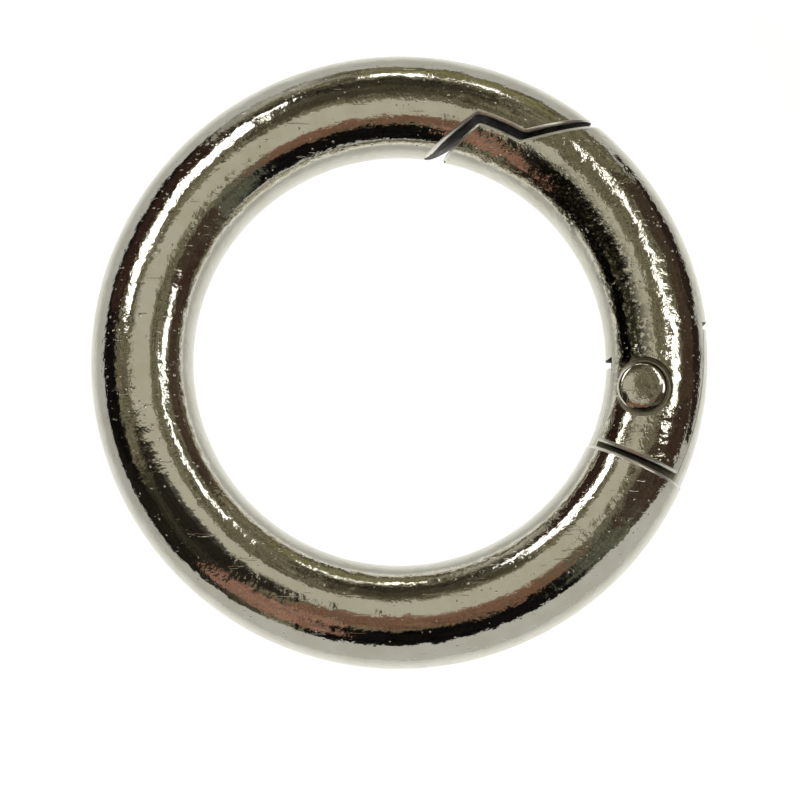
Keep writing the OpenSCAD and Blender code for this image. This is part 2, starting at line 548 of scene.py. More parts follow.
@dataclass
class RingBody:
    """The C-shaped bar with its latch lip and its flat tongue."""

    sizes: RingSizes = field(default_factory=RingSizes)
    half: int = 48
    step_line: int = 24
    rows: int = 150
    lip_rows: int = 9
    rim: float = 0.24
    latch_weight: float = 0.95
    corner_weight: float = 1.2
    tongue_inset: float = 0.05
    tongue_steps: int = 26
    tongue_across: int = 10
    tongue_flank: int = 6
    tongue_root: float = 1.2
    tongue_tip_deg: float = 9.0
    tongue_rim: float = 0.16
    # how dark the painted shade on the tongue's cut faces is
    tongue_shade: float = 0.72
    flank_reach: float = 2.7
    skin_slack: float = 0.04
    bore_r: float = 0.85
    seat_size: tuple[float, float, float] = (3.75, 3.0, 8.0)
    seat_inward: float = 3.0

    def build(self) -> bpy.types.Object:
        """Builds the body.

        Returns:
            The piece, not yet dressed.
        """
        bar = self.build_bar()
        tongue = self.build_tongue()
        return self.join(bar, tongue)

    def join(self, bar: bpy.types.Object, tongue: bpy.types.Object) -> bpy.types.Object:
        """Puts the tongue's shell into the bar's mesh, with its normals.

        Args:
            bar: The round bar.
            tongue: The tongue, which is used up.

        Returns:
            The bar with the tongue.
        """
        bpy.context.view_layer.update()
        with bpy.context.temp_override(
            active_object=bar, object=bar, selected_objects=[bar, tongue],
            selected_editable_objects=[bar, tongue],
        ):
            bpy.ops.object.join()
        return bar

    def build_bar(self) -> bpy.types.Object:
        """Builds the round bar from its shoulder to the tip of its lip.

        Returns:
            The bar.
        """
        s = self.sizes
        step, n = self.step_line, self.half
        half = s.long_lines(s.lip_step_r, step, n - step)
        thetas = half + [-t for t in half[-2:0:-1]]
        count = len(thetas)
        bm = bmesh.new()
        ring = bmesh.ops.create_circle(bm, segments=count, radius=s.bar_r * MM)["verts"]
        start = 360 + s.shoulder_deg
        inner, ramp = s.lip_inner(), s.lip_ramp()
        root_deg = math.degrees(math.atan2(inner[-1].y, inner[-1].x))
        tip_deg = math.degrees(math.atan2(ramp[0].y, ramp[0].x))

        def end_deg(i: int) -> float:
            """Ring angle at which long line i meets the lip's foot."""
            k = i if i <= n else count - i
            return angle_on(inner, s.rho(half[k])) if k > step else root_deg

        for i, v in enumerate(ring):
            place_on_skin(v, s, start, thetas[i])
        row = ring
        for k in range(1, self.rows + 1):
            row = grow_chain(bm, row, True)
            for i, v in enumerate(row):
                place_on_skin(v, s, start + (end_deg(i) - start) * k / self.rows, thetas[i])
        # the lip: the outer half of the bar runs on past the step
        outer_ids = [i % count for i in range(-step, step + 1)]
        chain = [row[i] for i in outer_ids]
        last = row
        edges_of_step = [(chain[0], chain[-1])]
        for k in range(1, self.lip_rows + 1):
            chain = grow_chain(bm, chain, False)
            for j, v in enumerate(chain):
                h = abs(j - step)
                goal = tip_deg if h == step else angle_on(ramp, s.rho(half[h]))
                t = k / self.lip_rows
                place_on_skin(v, s, root_deg + (goal - root_deg) * t, thetas[outer_ids[j]])
            edges_of_step.append((chain[0], chain[-1]))
        for (a, b), (c, d) in zip(edges_of_step, edges_of_step[1:]):
            close_face(bm, [a, b, d, c], Kind.WALL)
        fill_hole(bm, chain, Kind.WALL)
        fill_hole(bm, [last[i] for i in range(step, count - step + 1)], Kind.WALL)
        fill_hole(bm, ring, Kind.WALL)
        weigh_rims(bm, lambda m: 1.0 if m.y < 0 else self.latch_weight, self.corner_weight)
        piece = new_piece("ring_body_casting", bm)
        round_rims(piece, self.rim)
        hold_in_bar(piece, s)
        settle_normals(piece, s)
        mark_shade_and_highlight(piece)
        return piece

    def build_tongue(self) -> bpy.types.Object:
        """Builds the flat tongue that the gate's cheeks hold.

        Returns:
            The tongue.
        """
        s = self.sizes
        r = s.bar_r - self.tongue_inset
        first = s.shoulder_deg - self.tongue_root
        bm = bmesh.new()
        count = 2 * (self.tongue_flank + self.tongue_across)
        ring = bmesh.ops.create_circle(bm, segments=count, radius=MM)["verts"]
        row = ring
        for k in range(self.tongue_steps + 1):
            if k:
                row = grow_chain(bm, row, True)
            deg = first + (self.tongue_tip_deg - first) * k / self.tongue_steps
            for i, v in enumerate(row):
                self.place_on_tongue(v, deg, i)
        fill_hole(bm, row, Kind.WALL)
        fill_hole(bm, ring, Kind.WALL)
        for f in bm.faces:
            middle = f.calc_center_median()
            off = (middle - s.core_point(middle)).length / MM
            if len(f.verts) == 4 and abs(off - r) > self.skin_slack:
                f.material_index = Kind.WALL.value
        foot = ahead(s.pivot, s.slot_end_deg + 90, s.tongue_reach)
        normal = polar(1, s.slot_end_deg + 90)
        geom = list(bm.verts) + list(bm.edges) + list(bm.faces)
        bmesh.ops.bisect_plane(
            bm, geom=geom, plane_co=Vector((foot.x, foot.y, 0)) * MM,
            plane_no=Vector((normal.x, normal.y, 0)), clear_outer=True,
        )
        made = bmesh.ops.holes_fill(bm, edges=[e for e in bm.edges if e.is_boundary], sides=0)
        for f in made["faces"]:
            f.material_index = Kind.WALL.value
        bmesh.ops.recalc_face_normals(bm, faces=bm.faces)
        piece = new_piece("tongue", bm)
        add_kinds(piece)
        self.cut_tongue(piece)
        bm = bmesh.new()
        bm.from_mesh(piece.data)
        weigh_rims(bm, lambda m: 0.5, 0.5)
        bm.to_mesh(piece.data)
        bm.free()
        round_rims(piece, self.tongue_rim, 2)
        settle_normals(piece, s)
        # painted shade on the tongue's cut faces, a little lighter than on the castings' walls
        mark_shade_and_highlight(piece, self.tongue_shade)
        return piece

    def cut_tongue(self, tongue: bpy.types.Object) -> None:
        """Cuts the rivet's bore and the spring's seat into the tongue.

        Args:
            tongue: The tongue.
        """
        s = self.sizes
        bm = bmesh.new()
        lathe(bm, [(0, 2), (self.bore_r, 2), (self.bore_r, -2), (0, -2)], s.pivot, 48)
        cut_with(tongue, bm, Kind.WALL)
        bm = bmesh.new()
        bmesh.ops.create_cube(bm, size=MM)
        bmesh.ops.scale(bm, verts=bm.verts, vec=self.seat_size)
        middle = Vector((self.seat_size[0] / 2 - self.seat_inward, self.seat_size[1] / 2, 0))
        bmesh.ops.translate(bm, verts=bm.verts, vec=middle * MM)
        turn = Matrix.Rotation(math.radians(s.spring_heading - 90), 4, "Z")
        bmesh.ops.transform(bm, matrix=s.spring_frame(s.seat_dist) @ turn, verts=bm.verts)
        cut_with(tongue, bm, Kind.WALL)

    def place_on_tongue(self, v: bmesh.types.BMVert, deg: float, i: int) -> None:
        """Moves a point of the tongue's section to its place.

        Args:
            v: The point.
            deg: Ring angle of the section.
            i: The point's number, from the bottom of the outer flank round to its start.
        """
        s, flank, across = self.sizes, self.tongue_flank, self.tongue_across
        r = s.bar_r - self.tongue_inset
        ho = s.slot_half_height(polar(s.ring_r + self.flank_reach, deg), 0)
        hi = s.slot_half_height(polar(s.ring_r - self.flank_reach, deg), 0)
        to, ti = math.asin(ho / r), math.asin(hi / r)
        if i < flank:
            theta = -to + 2 * to * i / flank
            p, z = polar(s.ring_r + r * math.cos(theta), deg), r * math.sin(theta)
        elif i < flank + across:
            t = (i - flank) / across
            rho = s.ring_r + r * math.cos(to) * (1 - t) - r * math.cos(ti) * t
            p, z = polar(rho, deg), ho + (hi - ho) * t
        elif i < 2 * flank + across:
            theta = math.pi - ti + 2 * ti * (i - flank - across) / flank
            p, z = polar(s.ring_r + r * math.cos(theta), deg), r * math.sin(theta)
        else:
            t = (i - 2 * flank - across) / across
            rho = s.ring_r - r * math.cos(ti) * (1 - t) + r * math.cos(to) * t
            p, z = polar(rho, deg), -(hi + (ho - hi) * t)
        v.co = Vector((p.x, p.y, z)) * MM


# ---------------------------------------------------------------- the gate


@dataclass
class Gate:
    """The curved gate with its latch nose, forked heel and rivet recesses."""

    sizes: RingSizes = field(default_factory=RingSizes)
    rows: int = 44
    heel_rows: int = 18
    nose_rows: int = 6
    rim: float = 0.22
    slot_weight: float = 0.25
    corner_weight: float = 1.1
    flank_o: int = 6
    flank_i: int = 7
    half: int = 50
    step_line: int = 27
    hole_r: float = 0.81
    pocket_r: float = 0.68

    def slot_lines(self, deg_of: Callable[[float], float]) -> list[float]:
        """Section angles of the long lines where the slot's edges are two of them.

        Args:
            deg_of: Ring angle as a function of the radius, for the row in question.

        Returns:
            Angles from the outside of the ring to the inside.
        """
        s = self.sizes
        to, ti = 0.5, 0.5
        for _ in range(12):
            ro, ri = s.rho(to), s.rho(math.pi - ti)
            to = math.asin(s.slot_half_height(polar(ro, deg_of(ro)), s.slot_clear) / s.bar_r)
            ti = math.asin(s.slot_half_height(polar(ri, deg_of(ri)), s.slot_clear) / s.bar_r)
        mid = self.half - self.flank_o - self.flank_i
        return (
            [to * i / self.flank_o for i in range(self.flank_o)]
            + [to + (math.pi - ti - to) * i / mid for i in range(mid)]
            + [math.pi - ti + ti * i / self.flank_i for i in range(self.flank_i + 1)]
        )

    def build(self) -> bpy.types.Object:
        """Builds the gate.

        Returns:
            The piece, not yet dressed.
        """
        s = self.sizes
        n, step = self.half, self.step_line
        nose = s.long_lines(s.gate_step_r, step, n - step)
        count = 2 * n
        inner, ramp = s.gate_inner(), s.gate_ramp()
        nose_deg = math.degrees(math.atan2(inner[-1].y, inner[-1].x))
        foot_deg = math.degrees(math.atan2(ramp[0].y, ramp[0].x))
        slot = self.slot_lines(s.slot_end_angle)

        def mirror(values: list[float]) -> list[float]:
            """Adds the angles of the lower half to those of the upper one."""
            return values + [-t for t in values[-2:0:-1]]

        nose_t, slot_t = mirror(nose), mirror(slot)

        def lead_deg(i: int) -> float:
            """Ring angle at which long line i meets the nose's foot."""
            k = i if i <= n else count - i
            return angle_on(ramp, s.rho(nose[k])) if k < step else foot_deg

        bm = bmesh.new()
        ring = bmesh.ops.create_circle(bm, segments=count, radius=s.bar_r * MM)["verts"]
        row = ring
        for k in range(self.rows + 1):
            if k:
                row = grow_chain(bm, row, True)
            t = k / self.rows
            ease = t * t * (3 - 2 * t)
            for i, v in enumerate(row):
                theta = slot_t[i] + (nose_t[i] - slot_t[i]) * ease
                first = s.slot_end_angle(s.rho(slot_t[i]))
                place_on_skin(v, s, first + (lead_deg(i) - first) * t, theta)
        last = row
        # the nose: the inner half of the bar runs on past the ramp
        ids = list(range(step, count - step + 1))
        chain = [row[i] for i in ids]
        sides = [(chain[0], chain[-1])]
        for k in range(1, self.nose_rows + 1):
            chain = grow_chain(bm, chain, False)
            for j, v in enumerate(chain):
                h = ids[j] if ids[j] <= n else count - ids[j]
                goal = nose_deg if h == step else angle_on(inner, s.rho(nose[h]))
                deg = foot_deg + (goal - foot_deg) * k / self.nose_rows
                place_on_skin(v, s, deg, nose_t[ids[j]])
            sides.append((chain[0], chain[-1]))
        for (a, b), (c, d) in zip(sides, sides[1:]):
            close_face(bm, [a, b, d, c], Kind.WALL)
        fill_hole(bm, chain, Kind.WALL)
        fill_hole(bm, [last[i % count] for i in range(-step, step + 1)], Kind.WALL)
        # the heel: two cheeks, above and below the slot
        lo, hi = self.flank_o, n - self.flank_i
        cheeks = []
        for sign in (1, -1):
            ids = [sign * i % count for i in range(lo, hi + 1)]
            chain = [ring[i] for i in ids]
            start = chain
            for k in range(1, self.heel_rows + 1):
                chain = grow_chain(bm, chain, False)
                t = k / self.heel_rows

                def deg_of(r: float) -> float:
                    """Ring angle of this row at radius r."""
                    first = s.slot_end_angle(r)
                    return first + (s.heel_deg - first) * t

                lines = self.slot_lines(deg_of)
                for j, v in enumerate(chain):
                    theta = lines[lo + j]
                    place_on_skin(v, s, deg_of(s.rho(theta)), sign * theta)
                close_face(bm, [start[0], start[-1], chain[-1], chain[0]], Kind.WALL)
                start = chain
            fill_hole(bm, chain, Kind.WALL)
            cheeks.append(chain)
        flank_out = [ring[i % count] for i in range(-lo, lo + 1)]
        flank_in = [ring[i] for i in range(hi, count - hi + 1)]
        fill_hole(bm, flank_out + flank_in, Kind.WALL)
        bmesh.ops.recalc_face_normals(bm, faces=bm.faces)

        weigh_rims(bm, self.rim_weight, self.corner_weight)
        piece = new_piece("gate_casting", bm)
        round_rims(piece, self.rim)
        hold_in_bar(piece, s)
        self.cut_recesses(piece)
        settle_normals(piece, s)
        mark_shade_and_highlight(piece)
        return piece

    def rim_weight(self, middle: Vector) -> float:
        """Gives the weight of a rim, which is less beside the slot.

        Args:
            middle: Middle of the rim, in mm.

        Returns:
            The weight.
        """
        s, q, slack = self.sizes, middle.xy, 0.02
        past = math.degrees(math.atan2(q.y, q.x)) < s.slot_end_angle(q.length) + 0.5
        beside = abs(middle.z) < s.slot_half_height(q, s.slot_clear) + slack
        return self.slot_weight if past and beside else 1.0

    def cut_recesses(self, piece: bpy.types.Object) -> None:
        """Cuts the rivet's recesses and hole and the spring's pocket.

        Args:
            piece: The gate.
        """
        s, start = self.sizes, 1.2
        bm = bmesh.new()
        for sign in (1, -1):
            profile = [
                (0, 4), (1.80, 4), (1.72, 2.62), (1.64, 2.2), (1.60, s.recess_z),
                (self.hole_r, s.recess_z), (self.hole_r, 1.0), (0, 1.0),
            ]
            lathe(bm, [(r, sign * z) for r, z in profile], s.pivot, 72)
        cut_with(piece, bm, Kind.EDGE)
        bm = bmesh.new()
        depth = s.pocket_end - start
        bmesh.ops.create_cone(
            bm, cap_ends=True, segments=32, radius1=self.pocket_r * MM,
            radius2=self.pocket_r * MM, depth=depth * MM,
        )
        bmesh.ops.translate(bm, verts=bm.verts, vec=(0, 0, depth / 2 * MM))
        bmesh.ops.transform(bm, matrix=s.spring_frame(start) @ s.spring_turn(), verts=bm.verts)
        cut_with(piece, bm, Kind.WALL)


# ---------------------------------------------------------------- rivet and spring


@dataclass
class Rivet:
    """The hinge rivet: shank, domed head and the formed head under the ring."""

    sizes: RingSizes = field(default_factory=RingSizes)
    shank_r: float = 0.80
    head_r: float = 1.50
    dome_h: float = 0.88
    dome_power: float = 4.0
    formed_h: float = 0.70
    formed_power: float = 2.8
    edge_h: float = 0.14
    cap_steps: int = 24

    def cap(self, h: float, power: float) -> list[tuple[float, float]]:
        """Outline of a head from its top to its seat.

        Args:
            h: Its height in mm.
            power: How flat its top is: 2 is an ellipse.

        Returns:
            Points (radius, height) in mm.
        """
        out = []
        for i in range(self.cap_steps + 1):
            t = math.sin(i / self.cap_steps * math.pi / 2)
            crown = (h - self.edge_h) * (1 - t**power) ** (1 / power)
            out.append((self.head_r * t, self.edge_h + crown))
        return out + [(self.head_r - 0.02, 0.03), (self.head_r - 0.08, 0.0)]

    def profile(self) -> list[tuple[float, float]]:
        """Outline of the rivet.

        Returns:
            Points from the top of its axis to the bottom.
        """
        z = self.sizes.recess_z
        top = [(r, z + h) for r, h in self.cap(self.dome_h, self.dome_power)]
        low = [(r, -z - h) for r, h in self.cap(self.formed_h, self.formed_power)]
        return top + [(self.shank_r, z), (self.shank_r, -z)] + low[::-1]

    def build(self) -> bpy.types.Object:
        """Builds the rivet.

        Returns:
            The piece, not yet dressed.
        """
        bm = bmesh.new()
        lathe(bm, self.profile(), self.sizes.pivot, 72)
        piece = new_piece("rivet_turned", bm)
        piece.data.polygons.foreach_set("use_smooth", [True] * len(piece.data.polygons))
        piece.data.set_sharp_from_angle(angle=math.radians(50))
        return piece


@dataclass
class ReturnSpring:
    """The small coil in the gate's pocket that pushes against the tongue."""

    sizes: RingSizes = field(default_factory=RingSizes)
    coil_r: float = 0.48
    wire_r: float = 0.11
    turns: int = 9
    turn_steps: int = 24
    start: float = 1.52
    length: float = 4.09
    squeezed: float = 0.83

    def build(self) -> bpy.types.Object:
        """Builds the coil.

        Returns:
            The piece, not yet dressed.
        """
        bm = bmesh.new()
        wire = bmesh.ops.create_circle(bm, segments=10, radius=self.wire_r * MM)["verts"]
        stand = Matrix.Translation(Vector((self.coil_r, 0, self.wire_r)) * MM)
        upright = Matrix.Rotation(math.pi / 2, 4, "X")
        bmesh.ops.transform(bm, matrix=stand @ upright, verts=wire)
        bmesh.ops.contextual_create(bm, geom=list(bm.edges))
        steps = self.turns * self.turn_steps
        rise = (self.length - 2 * self.wire_r) * MM
        bmesh.ops.spin(
            bm, geom=list(bm.faces) + list(bm.edges) + list(bm.verts), cent=(0, 0, 0),
            axis=(0, 0, 1), dvec=(0, 0, rise / steps), angle=2 * math.pi * self.turns,
            steps=steps,
        )
        stand = self.sizes.spring_frame(self.start) @ self.sizes.spring_turn()
        bmesh.ops.transform(bm, matrix=stand, verts=bm.verts)
        piece = new_piece("spring_coil", bm)
        piece.data.polygons.foreach_set("use_smooth", [True] * len(piece.data.polygons))
        return piece

    def squeeze(self, piece: bpy.types.Object) -> None:
        """Gives the coil a mesh of its own; the pocket's end is worked out but not used.

        Args:
            piece: The coil.
        """
        end = tuple(self.sizes.spring_frame(self.start + self.length).translation)
        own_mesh(piece)


# ---------------------------------------------------------------- finishes


def node(tree: bpy.types.NodeTree, kind: str, **values: object) -> bpy.types.Node:
    """Adds a node.

    Args:
        tree: Where it goes.
        kind: Its type.
        **values: Its properties.

    Returns:
        The node.
    """
    made = tree.nodes.new(kind)
    for key, value in values.items():
        setattr(made, key, value)
    return made


class Graph:
    """A node tree with short ways to add nodes to it."""

    def __init__(self, tree: bpy.types.NodeTree) -> None:
        """Keeps the tree."""
        self.tree = tree

    def plug(self, socket: bpy.types.NodeSocket, value: object) -> None:
        """Joins a socket to another one, or sets its value.

        Args:
            socket: The input.
            value: An output, or a plain value.
        """
        if isinstance(value, bpy.types.NodeSocket):
            self.tree.links.new(value, socket)
        else:
            socket.default_value = value

    def math(self, op: str, *values: object, clamp: bool = False) -> bpy.types.NodeSocket:
        """Adds a Math node.

        Args:
            op: Its operation.
            *values: Its inputs.
            clamp: Whether the result is kept from 0 to 1.

        Returns:
            The result.
        """
        made = node(self.tree, "ShaderNodeMath", operation=op, use_clamp=clamp)
        for socket, value in zip(made.inputs, values):
            self.plug(socket, value)
        return made.outputs[0]

    def noise(
        self, vector: object, size: float, detail: float = 2.0, rough: float = 0.5
    ) -> bpy.types.NodeSocket:
        """Adds a Noise Texture.

        Args:
            vector: Where it is read.
            size: About how long its features are.
            detail: Number of finer layers.
            rough: Strength of the finer layers.

        Returns:
            The value, from 0 to 1.
        """
        made = node(self.tree, "ShaderNodeTexNoise")
        self.plug(made.inputs["Vector"], vector)
        made.inputs["Scale"].default_value = 1.0 / size
        made.inputs["Detail"].default_value = detail
        made.inputs["Roughness"].default_value = rough
        return made.outputs["Fac"]

    def ramp(
        self, value: object, low: float, high: float, out_low: float = 0.0, out_high: float = 1.0
    ) -> bpy.types.NodeSocket:
        """Maps a value smoothly from one range to another.

        Args:
            value: The value.
            low: Lower end of its range.
            high: Upper end.
            out_low: Result at the lower end and below it.
            out_high: Result at the upper end and above it.

        Returns:
            The result.
        """
        made = node(self.tree, "ShaderNodeMapRange", interpolation_type="SMOOTHSTEP")
        for socket, v in zip(made.inputs, (value, low, high, out_low, out_high)):
            self.plug(socket, v)
        return made.outputs[0]

    def mix(self, mask: object, a: object, b: object) -> bpy.types.NodeSocket:
        """Mixes two colours.

        Args:
            mask: Share of the second colour.
            a: The first colour.
            b: The second colour.

        Returns:
            The result.
        """
        made = node(self.tree, "ShaderNodeMix", data_type="RGBA")
        self.plug(made.inputs["Factor"], mask)
        self.plug(made.inputs[6], a)
        self.plug(made.inputs[7], b)
        return made.outputs[2]


def new_material(name: str, bare: bool = False) -> tuple[bpy.types.Material, Graph]:
    """Starts a material.

    Args:
        name: Its name.
        bare: Whether it starts without its Principled shader.

    Returns:
        The material and its graph.
    """
    mat = bpy.data.materials.new(name)
    mat.use_nodes = True
    if bare:
        mat.node_tree.nodes.remove(mat.node_tree.nodes["Principled BSDF"])
    return mat, Graph(mat.node_tree)


def new_group(name: str, inputs: list[tuple[str, str]], outputs: list[tuple[str, str]]) -> tuple:
    """Starts a shader node group.

    Args:
        name: Name of the group.
        inputs: Names and socket types of its inputs.
        outputs: Names and socket types of its outputs.

    Returns:
        The group, its input node and its output node.
    """
    group = bpy.data.node_groups.new(name, "ShaderNodeTree")
    for direction, sockets in (("INPUT", inputs), ("OUTPUT", outputs)):
        for label, kind in sockets:
            group.interface.new_socket(name=label, in_out=direction, socket_type=kind)
    return group, node(group, "NodeGroupInput"), node(group, "NodeGroupOutput")


def cast_skin_group() -> bpy.types.NodeTree:
    """Makes the group for the skin of a plated casting.

    Returns:
        A group that turns a place in mm into a height in mm and a mask of the worn spots.
    """
    floats = ["Wave", "Peel", "Pits", "Scratches"]
    group, source, sink = new_group(
        "cast_skin",
        [("Place", "NodeSocketVector")] + [(f, "NodeSocketFloat") for f in floats],
        [("Height", "NodeSocketFloat"), ("Spots", "NodeSocketFloat")],
    )
    g = Graph(group)
    place = source.outputs["Place"]
    wave = g.math("MULTIPLY", g.noise(place, 3.2, 1.0), source.outputs["Wave"])
    patch = g.ramp(g.noise(place, 2.2, 2.0), 0.38, 0.66, 0.35, 1.0)
    broad = g.math("MULTIPLY", g.noise(place, 0.55, 1.0), 2.2)
    fine = g.math("ADD", g.noise(place, 0.16, 1.0), broad)
    peel = g.math("MULTIPLY", g.math("MULTIPLY", fine, patch), source.outputs["Peel"])
    cells = node(group, "ShaderNodeTexVoronoi", feature="F1")
    g.plug(cells.inputs["Vector"], place)
    cells.inputs["Scale"].default_value = 1 / 0.38
    pick = node(group, "ShaderNodeSeparateColor")
    g.plug(pick.inputs[0], cells.outputs["Color"])
    chosen = g.ramp(pick.outputs[0], 0.48, 0.52)
    size = g.math("MULTIPLY_ADD", pick.outputs[1], 0.17, 0.09)
    dent = g.ramp(g.math("DIVIDE", cells.outputs["Distance"], size), 0.2, 1.0, 1.0, 0.0)
    pit = g.math("MULTIPLY", g.math("MULTIPLY", dent, chosen), source.outputs["Pits"])
    turned = node(group, "ShaderNodeMapping")
    g.plug(turned.inputs["Vector"], place)
    turned.inputs["Rotation"].default_value = (0.5, 0.3, 0.9)
    turned.inputs["Scale"].default_value = (0.35, 7.0, 4.0)
    streak = g.ramp(g.noise(turned.outputs[0], 1.0, 0.0), 0.76, 0.82)
    scratch = g.math("MULTIPLY", streak, source.outputs["Scratches"])
    low = g.math("ADD", pit, scratch)
    g.plug(sink.inputs["Height"], g.math("SUBTRACT", g.math("ADD", wave, peel), low))
    g.plug(sink.inputs["Spots"], g.math("MULTIPLY", dent, chosen))
    return group


@dataclass(frozen=True)
class NickelFinish:
    """Polished nickel plate: its tone and how uneven the casting under it is, in mm."""

    name: str
    tone: tuple[float, float, float]
    stain: tuple[float, float, float]
    # near black of the painted shade on cut walls and of the dark flecks
    shade_and_fleck: tuple[float, float, float]
    roughness: tuple[float, float]
    wave: float
    peel: float
    pits: float
    scratches: float
    # strength of the near-black flecks on the inner half of the bar
    fleck_amount: float = 0.0

    def material(self, group: bpy.types.NodeTree) -> bpy.types.Material:
        """Makes the material.

        Args:
            group: The group for the skin of a plated casting.

        Returns:
            The material.
        """
        mat, g = new_material(self.name)
        shader = mat.node_tree.nodes["Principled BSDF"]
        coords = node(mat.node_tree, "ShaderNodeTexCoord")
        in_mm = node(mat.node_tree, "ShaderNodeMapping")
        in_mm.inputs["Scale"].default_value = (1000, 1000, 1000)
        g.plug(in_mm.inputs["Vector"], coords.outputs["Object"])
        skin = node(mat.node_tree, "ShaderNodeGroup", node_tree=group)
        g.plug(skin.inputs["Place"], in_mm.outputs[0])
        for label in ("Wave", "Peel", "Pits", "Scratches"):
            skin.inputs[label].default_value = getattr(self, label.lower())
        cloud = g.ramp(g.noise(in_mm.outputs[0], 1.4, 3.0), 0.35, 0.7)
        colour = g.mix(g.math("MULTIPLY", cloud, 0.5), (*self.tone, 1), (*self.stain, 1))
        colour = g.mix(g.math("MULTIPLY", skin.outputs["Spots"], 0.5), colour, (*self.stain, 1))
        # near-black flecks in a band on the inner half of the bar
        colour = g.mix(self.inner_fleck_mask(g, in_mm.outputs[0]), colour, (*self.shade_and_fleck, 1))
        wall, rim = (
            node(mat.node_tree, "ShaderNodeAttribute", attribute_name=name).outputs["Fac"]
            for name in ("cut_wall", "painted_rim_highlight")
        )
        # rounded rims: painted highlight, a pale colour mixed in
        colour = g.mix(g.math("MULTIPLY", rim, 0.9), colour, (*RIM_SHEEN, 1))
        # cut walls: painted shade, a mottle of near black and dark grey in place of the plate's
        # colour
        thin = g.ramp(g.noise(in_mm.outputs[0], 0.7, 4.0, 0.6), 0.42, 0.66)
        inside = g.mix(thin, (*self.shade_and_fleck, 1), (*WALL_SHADE_GREY, 1))
        g.plug(shader.inputs["Base Color"], g.mix(wall, colour, inside))
        g.plug(shader.inputs["Metallic"], g.math("MULTIPLY_ADD", wall, -0.5, 1.0))
        grain = g.ramp(g.noise(in_mm.outputs[0], 0.5, 3.0), 0.3, 0.7, *self.roughness)
        rough = g.math("MULTIPLY_ADD", wall, 0.5, g.math("MULTIPLY_ADD", rim, 0.3, grain))
        g.plug(shader.inputs["Roughness"], rough)
        bump = node(mat.node_tree, "ShaderNodeBump")
        bump.inputs["Strength"].default_value = 1.0
        bump.inputs["Distance"].default_value = MM
        g.plug(bump.inputs["Height"], skin.outputs["Height"])
        g.plug(shader.inputs["Normal"], bump.outputs["Normal"])
        return mat

    def inner_fleck_mask(self, g: Graph, place: object) -> bpy.types.NodeSocket:
        """Makes the mask of near-black flecks in a band on the inner half of the bar, over the
        gate's stretch of the ring.

        Args:
            g: The material's graph.
            place: Where it is read, in mm.

        Returns:
            The mask.
        """
        flat = node(g.tree, "ShaderNodeVectorMath", operation="MULTIPLY")
        g.plug(flat.inputs[0], place)
        flat.inputs[1].default_value = (1, 1, 0)
        r = node(g.tree, "ShaderNodeVectorMath", operation="LENGTH")
        g.plug(r.inputs[0], flat.outputs[0])
        nearer = g.math("SUBTRACT", r.outputs["Value"], 0.6)
        far = g.math("MULTIPLY_ADD", g.noise(place, 1.2, 3.0), 1.2, nearer)
        band = g.math("MULTIPLY", g.ramp(far, 12.5, 12.9), g.ramp(far, 13.8, 14.9, 1.0, 0.0))
        fleck = g.ramp(g.noise(place, 0.24, 3.0, 0.65), 0.50, 0.60, 1.0, 0.0)
        xyz = node(g.tree, "ShaderNodeSeparateXYZ")
        g.plug(xyz.inputs[0], place)
        turn = g.math("ARCTAN2", xyz.outputs[1], xyz.outputs[0])
        ends = g.math("MULTIPLY", g.ramp(turn, 0.85, 1.1, 1.0, 0.0), self.fleck_amount)
        reach = g.math("MULTIPLY", g.ramp(turn, -0.25, 0.0, 0.35, 1.0), ends)
        return g.math("MULTIPLY", g.math("MULTIPLY", band, fleck), reach)


# near black for the painted shade on cut walls and for the dark flecks
SHADE_AND_FLECK = (0.032, 0.028, 0.019)
# dark grey of the painted shade on cut walls
WALL_SHADE_GREY = (0.21, 0.19, 0.14)
# pale colour painted on rounded rims as a highlight
RIM_SHEEN = (0.95, 0.93, 0.86)
BODY_PLATE = NickelFinish(
    "nickel_body", tone=(0.69, 0.67, 0.60), stain=(0.60, 0.56, 0.46), shade_and_fleck=SHADE_AND_FLECK,
    roughness=(0.05, 0.09), wave=0.040, peel=0.0105, pits=0.022, scratches=0.007,
)
GATE_PLATE = NickelFinish(
    "nickel_gate", tone=(0.68, 0.66, 0.58), stain=(0.58, 0.54, 0.43), shade_and_fleck=SHADE_AND_FLECK,
    roughness=(0.05, 0.10), wave=0.080, peel=0.0190, pits=0.034, scratches=0.007, fleck_amount=0.85,
)
HEAD_PLATE = NickelFinish(
    "nickel_rivet", tone=(0.70, 0.68, 0.61), stain=(0.60, 0.57, 0.48), shade_and_fleck=SHADE_AND_FLECK,
    roughness=(0.06, 0.12), wave=0.030, peel=0.0120, pits=0.016, scratches=0.006,
)
WIRE = NickelFinish(
    "steel_wire", tone=(0.55, 0.55, 0.54), stain=(0.40, 0.39, 0.36), shade_and_fleck=SHADE_AND_FLECK,
    roughness=(0.2, 0.32), wave=0.004, peel=0.002, pits=0.003, scratches=0.004,
)


# ---------------------------------------------------------------- surroundings


@dataclass(frozen=True)
class Patch:
    """A patch of the light tent: its middle, half sizes and slope in degrees, and its tone."""

    azimuth: float
    polar: float
    half_az: float
    half_pol: float
    tone: tuple[float, float, float]
    slope: float = 0.0
    soft: float = 4.0
    mottle: float = 0.0


WHITE = (3.4, 3.35, 3.2)
WALL_GREY = (0.46, 0.45, 0.39)
CEILING = (0.56, 0.54, 0.44)
OLIVE = (0.27, 0.25, 0.165)
SHADE = (0.062, 0.054, 0.034)
BROWN = (0.24, 0.125, 0.082)
SKIN_TONE = (0.37, 0.205, 0.15)
UMBER = (0.055, 0.03, 0.022)
DARK = (0.020, 0.017, 0.013)
BLACK = (0.002, 0.002, 0.003)
# colour of the painted glow that reflected rays see on the floor
FLOOR_GLOW = (0.62, 0.63, 0.61)
LEMON = (0.25, 0.24, 0.12)

